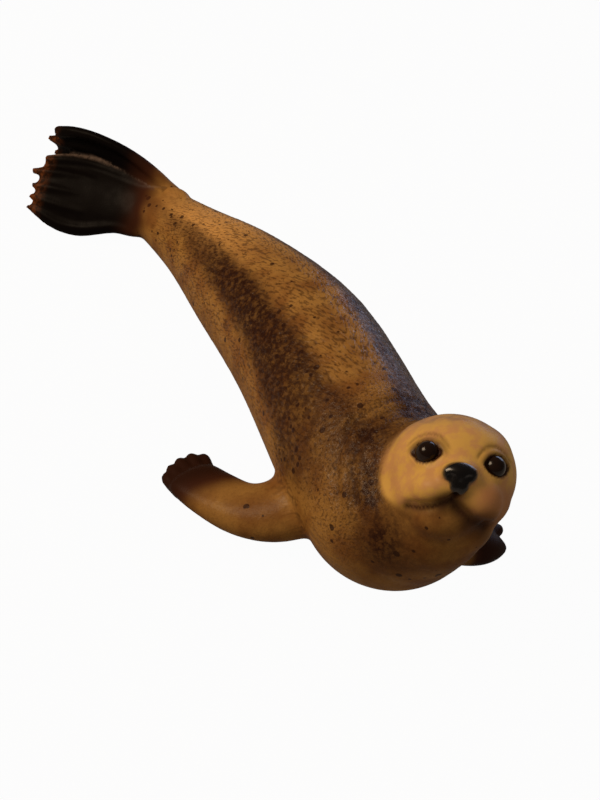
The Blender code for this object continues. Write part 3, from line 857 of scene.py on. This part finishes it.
    # Satin finish: duller in the grooves, glossy on the nose, and almost no varnish on the flippers.
    finish = spread(grain(here, 2.0, 3.0), 0.3, 0.7, 0.5, 0.62)
    finish = maths("SUBTRACT", finish, maths("MULTIPLY", fur, 0.16))
    finish = maths("SUBTRACT", finish, maths("MULTIPLY", dark, 0.12))
    finish = maths("ADD", finish, maths("MULTIPLY", groove, 0.12))
    finish = maths("SUBTRACT", finish, maths("MULTIPLY", gloss, 0.25))
    tree.links.new(finish, shader.inputs["Roughness"])
    shader.inputs["IOR"].default_value = VINYL_IOR
    shader.inputs["Specular IOR Level"].default_value = VINYL_SPECULAR
    varnish = maths("MULTIPLY", VARNISH_OF_SKIN, maths("SUBTRACT", 1.0, dark))
    glints = maths("MULTIPLY", fur, spread(grain(here, 0.6, 2.0), 0.45, 0.65, 0.08, 0.4))
    varnish = maths("MAXIMUM", maths("MAXIMUM", gloss, varnish), glints)
    tree.links.new(varnish, shader.inputs["Coat Weight"])
    shader.inputs["Coat Roughness"].default_value = VARNISH_ROUGHNESS

    # Bump finer than the skin's own grain: hair strokes, then the faint pitting of cast vinyl.
    fine = maths("MULTIPLY", blend(neck, grain(hairs, 0.34, 2.0), grain(here, 0.3, 3.0)), fur)
    pitting = grain(here, 0.3, 2.0)
    bump = add_node(tree, "ShaderNodeBump", {}, {"Strength": 0.85, "Distance": 0.18 * MM, "Height": fine})
    inputs = {"Strength": 0.25, "Distance": 0.05 * MM, "Height": pitting, "Normal": bump.outputs[0]}
    bump = add_node(tree, "ShaderNodeBump", {}, inputs)
    tree.links.new(bump.outputs[0], shader.inputs["Normal"])
    tree.links.new(bump.outputs[0], shader.inputs["Coat Normal"])
    return material


def eye_varnish(paint):
    """Black enamel under clear varnish: the eyes are the glossiest part of the figure."""
    material, tree, shader = new_material("varnished black enamel")
    here = add_node(tree, "ShaderNodeTexCoord").outputs["Object"]
    grain = add_node(tree, "ShaderNodeTexNoise", {}, {"Vector": here, "Scale": 1 / EYE_GRAIN, "Detail": 2.0})
    inputs = {0: grain.outputs["Fac"], 6: paint.eye, 7: linear(EYE_SHADE)}
    brown = add_node(tree, "ShaderNodeMix", {"data_type": "RGBA"}, inputs)
    tree.links.new(brown.outputs[2], shader.inputs["Base Color"])
    shader.inputs["Roughness"].default_value = EYE_ROUGHNESS
    shader.inputs["IOR"].default_value = EYE_IOR
    return material


def painted_masks(bm, coat):
    """The smaller paint masks: gloss black of the nose, and the dark paint and painted shade round the mouth and
    eyes.
    """
    local = coat.head
    flat = local[:, [0, 2]]
    front = soft(local[:, 1], -2.5, -5.0)
    # Dark paint along the mouth line, and painted shadow in a broad band along the mouth's branch on the seal's
    # left.
    dark_paint_and_shade = 0.95 * ridge(distance_to_line(flat + (0, 0.15), MOUTH_LINE), 0.6) * front
    corner = 0.95 * ridge(distance_to_line(flat, MOUTH_LINE[RIGHT_OF_MOUTH:]), 1.5) * front
    dark_paint_and_shade = np.maximum(dark_paint_and_shade, corner)
    # Dark paint down the philtrum, widened by painted shade under the nose.
    dark_paint_and_shade = np.maximum(dark_paint_and_shade, ridge(distance_to_line(flat, PHILTRUM_LINE), 1.1) * front)
    nose, below = (
        np.linalg.norm((local - centre) / radii, axis=1) for centre, radii in (NOSE_PAINT, UNDER_NOSE_PAINT)
    )
    gloss = soft(np.minimum(nose, below), 1.08, 0.94) * soft(local[:, 1], -8.6, -9.3)
    for centre, gaze in zip(EYES, EYE_GAZES):
        seen = in_frame(local, eye_axes(centre, gaze))
        outward = soft(seen[:, 2], -0.8, 0.0)
        rim = lid_rim(seen)
        dark_paint_and_shade = np.maximum(dark_paint_and_shade, soft(rim, 0.3, 0.0) * outward)
        dark_paint_and_shade = np.maximum(dark_paint_and_shade, 0.6 * soft(rim, 1.0, 0.2) * outward * soft(seen[:, 1], -0.6, 0.6))
        dark_paint_and_shade = np.maximum(dark_paint_and_shade, 0.5 * ridge(rim - 1.1, 0.25) * outward * soft(seen[:, 1], 0.4, 1.2))
        # Painted shade above the seal's left eye, on the face's darker side.
        left_brow_shade = soft(local[:, 0], 2.0, 3.5) * soft(seen[:, 1], 0.0, 1.2)
        dark_paint_and_shade = np.maximum(dark_paint_and_shade, 0.4 * soft(rim, 2.2, 0.3) * outward * left_brow_shade)
    return gloss, dark_paint_and_shade


class SEAL_OT_body(bpy.types.Operator):
    """Sculpts and paints the one-piece casting"""

    bl_idname = "seal_figurine.body"
    bl_label = "Body"

    def execute(self, context):
        shape, paint = context.scene.seal_shape, context.scene.seal_paint
        bm = bmesh.new()
        masses(bm)
        bm = remeshed(bm, MASS_GRAIN, MASS_SMOOTHING)
        details(bm, shape.eye_radius / MM)
        bm = remeshed(bm, shape.grain / MM, DETAIL_SMOOTHING)
        sculpt(bm, shape)
        rest_flat(bm)
        bmesh.ops.recalc_face_normals(bm, faces=bm.faces)
        height = relief(bm)
        coat = Coat(places(bm))
        gloss, dark_paint_and_shade = painted_masks(bm, coat)
        shift = place_in_frame(bm)
        mesh = bpy.data.meshes.new("seal_body")
        bm.to_mesh(mesh)
        bm.free()
        masks = {name: getattr(coat, name) for name in COAT_MASKS}
        masks |= {"relief": height, "gloss": gloss, "dark_paint_and_shade": dark_paint_and_shade, "flow": coat.flow}
        for name, values in masks.items():
            add_attribute(mesh, name, values)
        body = new_object("seal_body", mesh, painted_vinyl(paint))
        context.scene["seal_shift"] = tuple(shift)
        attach(body, "root")
        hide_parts("seal")
        return {"FINISHED"}


class SEAL_OT_eyes(bpy.types.Operator):
    """Makes the two varnished eyes"""

    bl_idname = "seal_figurine.eyes"
    bl_label = "Eyes"

    def execute(self, context):
        shape, paint = context.scene.seal_shape, context.scene.seal_paint
        material = eye_varnish(paint)
        shift = Matrix.Translation(context.scene["seal_shift"])
        for name, centre, gaze in zip(("eye_left", "eye_right"), EYES, EYE_GAZES):
            bm = bmesh.new()
            bmesh.ops.create_uvsphere(bm, u_segments=48, v_segments=32, radius=shape.eye_radius / MM)
            for v in bm.verts:
                dome = max(v.co.normalized().z - EYE_DOME_START, 0)
                v.co.z += dome * EYE_DOME
            bm.transform(Matrix.Scale(MM, 4) @ shift @ head_frame() @ eye_axes(centre, gaze))
            bmesh.ops.recalc_face_normals(bm, faces=bm.faces)
            mesh = bpy.data.meshes.new(name)
            bm.to_mesh(mesh)
            bm.free()
            eye = new_object(name, mesh, material)
            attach(eye, "root")
        return {"FINISHED"}


def floor_paper(stage):
    """Pale matt paper: white to the camera, duller in the figure's light, and it keeps the figure's shadow."""
    material, tree, shader = new_material("matt white paper")
    tree.nodes.remove(shader)
    path = add_node(tree, "ShaderNodeLightPath").outputs
    here = add_node(tree, "ShaderNodeTexCoord").outputs["Object"]
    inputs = {"Vector": here, "Scale": 1 / PAPER_GRAIN, "Detail": 3.0}
    fibre = add_node(tree, "ShaderNodeTexNoise", {}, inputs)
    dark, pale = (linear(code) for code in PAPER_TINTS)
    inputs = {0: fibre.outputs["Fac"], 6: dark, 7: pale}
    tint = add_node(tree, "ShaderNodeMix", {"data_type": "RGBA"}, inputs)
    paper = add_node(tree, "ShaderNodeBsdfDiffuse", {}, {"Color": tint.outputs[2]})
    white = add_node(tree, "ShaderNodeEmission", {}, {"Color": stage.floor, "Strength": 1.0})
    times, most = {"operation": "MULTIPLY"}, {"operation": "MAXIMUM"}
    glossy = add_node(tree, "ShaderNodeMath", times, {0: path["Is Glossy Ray"], 1: PAPER_IN_REFLECTIONS})
    seen = add_node(tree, "ShaderNodeMath", most, {0: path["Is Camera Ray"], 1: glossy.outputs[0]})
    seen = add_node(tree, "ShaderNodeMath", most, {0: seen.outputs[0], 1: path["Is Transmission Ray"]})
    share = add_node(tree, "ShaderNodeMath", times, {0: seen.outputs[0], 1: PAPER_WHITE_SHARE})
    both = add_node(
        tree, "ShaderNodeMixShader", {}, {0: share.outputs[0], 1: paper.outputs[0], 2: white.outputs[0]}
    )
    tree.links.new(both.outputs[0], tree.nodes["Material Output"].inputs["Surface"])
    return material


def room_light(stage):
    """The world: white to the camera, and a soft warm-grey room to everything else."""
    world = bpy.data.worlds.new("soft room")
    world.use_nodes = True
    tree = world.node_tree
    path = add_node(tree, "ShaderNodeLightPath").outputs
    dim = add_node(
        tree,
        "ShaderNodeMapRange",
        {},
        {"Value": path["Is Glossy Ray"], "To Min": stage.sky, "To Max": stage.sky * MIRRORED_SKY},
    )
    inputs = {"Color": linear(ROOM_TINT), "Strength": dim.outputs[0]}
    room = add_node(tree, "ShaderNodeBackground", {}, inputs)
    white = add_node(tree, "ShaderNodeBackground", {}, {"Color": stage.floor, "Strength": 1.0})
    both = add_node(
        tree, "ShaderNodeMixShader", {}, {0: path["Is Camera Ray"], 1: room.outputs[0], 2: white.outputs[0]}
    )
    tree.links.new(both.outputs[0], tree.nodes["World Output"].inputs["Surface"])
    bpy.context.scene.world = world


def camera_axes():
    """The camera's right, up and back directions."""
    turn, rise, roll = (math.radians(v) for v in (CAMERA_TURN, CAMERA_RISE, CAMERA_ROLL))
    back = Vector((math.sin(turn) * math.cos(rise), -math.cos(turn) * math.cos(rise), math.sin(rise)))
    level = Vector((math.cos(turn), math.sin(turn), 0))
    upright = back.cross(level)
    right = level * math.cos(roll) + upright * math.sin(roll)
    up = upright * math.cos(roll) - level * math.sin(roll)
    return right, up, back


def aim(scene):
    """The point of the figure that the camera and lamps look at, in metres."""
    return (Vector(LOOK_AT) + Vector(scene["seal_shift"])) * MM


def add_lamp(name, target, direction, distance, size, watts, tint):
    """A soft square lamp that shines at a point."""
    light = bpy.data.lights.new(name, "AREA")
    light.size = size
    light.energy = watts
    light.color = linear(tint)[:3]
    lamp = bpy.data.objects.new(name, light)
    direction = Vector(direction).normalized()
    lamp.location = target + direction * distance
    lamp.rotation_euler = direction.to_track_quat("Z", "Y").to_euler()
    bpy.context.scene.collection.objects.link(lamp)


class SEAL_OT_stage(bpy.types.Operator):
    """Lays the floor and sets the lights and the camera"""

    bl_idname = "seal_figurine.stage"
    bl_label = "Stage"

    def execute(self, context):
        scene, stage = context.scene, context.scene.seal_stage
        bm = bmesh.new()
        bmesh.ops.create_grid(bm, x_segments=2, y_segments=2, size=stage.floor_size / 2)
        mesh = bpy.data.meshes.new("floor")
        bm.to_mesh(mesh)
        bm.free()
        new_object("floor", mesh, floor_paper(stage))
        room_light(stage)
        target = aim(scene)
        add_lamp("key_lamp", target, *KEY_LAMP, stage.key_watts, KEY_TINT)
        add_lamp("window_lamp", target, *WINDOW_LAMP, stage.rim_watts, WINDOW_TINT)
        right, up, back = camera_axes()
        camera = bpy.data.objects.new("camera", bpy.data.cameras.new("camera"))
        camera.data.lens = CAMERA_LENS
        camera.data.clip_start = 0.01
        axes = Matrix((right, up, back)).transposed().to_4x4()
        camera.matrix_world = Matrix.Translation(target + back * CAMERA_DISTANCE) @ axes
        scene.collection.objects.link(camera)
        scene.camera = camera
        scene.view_settings.view_transform = "Standard"
        return {"FINISHED"}


class SEAL_PT_panel(bpy.types.Panel):
    """Lists the figurine's sizes, colours and steps"""

    bl_idname = "SEAL_PT_panel"
    bl_label = "Seal figurine"
    bl_space_type = "VIEW_3D"
    bl_region_type = "UI"
    bl_category = "Seal"

    def draw(self, context):
        for group in (context.scene.seal_shape, context.scene.seal_paint, context.scene.seal_stage):
            box = self.layout.box()
            for name in group.__annotations__:
                box.prop(group, name)
        for operator in OPERATORS:
            self.layout.operator(operator.bl_idname)


GROUPS = {"seal_shape": SealShape, "seal_paint": SealPaint, "seal_stage": SealStage}
OPERATORS = (SEAL_OT_body, SEAL_OT_eyes, SEAL_OT_stage)


def register():
    for item in (*GROUPS.values(), *OPERATORS, SEAL_PT_panel):
        bpy.utils.register_class(item)
    for name, group in GROUPS.items():
        setattr(bpy.types.Scene, name, bpy.props.PointerProperty(type=group))


def unregister():
    for name in GROUPS:
        delattr(bpy.types.Scene, name)
    for item in (SEAL_PT_panel, *reversed(OPERATORS), *GROUPS.values()):
        bpy.utils.unregister_class(item)


def main():
    register()
    bpy.ops.seal_figurine.body()
    bpy.ops.seal_figurine.eyes()
    bpy.ops.seal_figurine.stage()


if __name__ == "__main__":
    main()
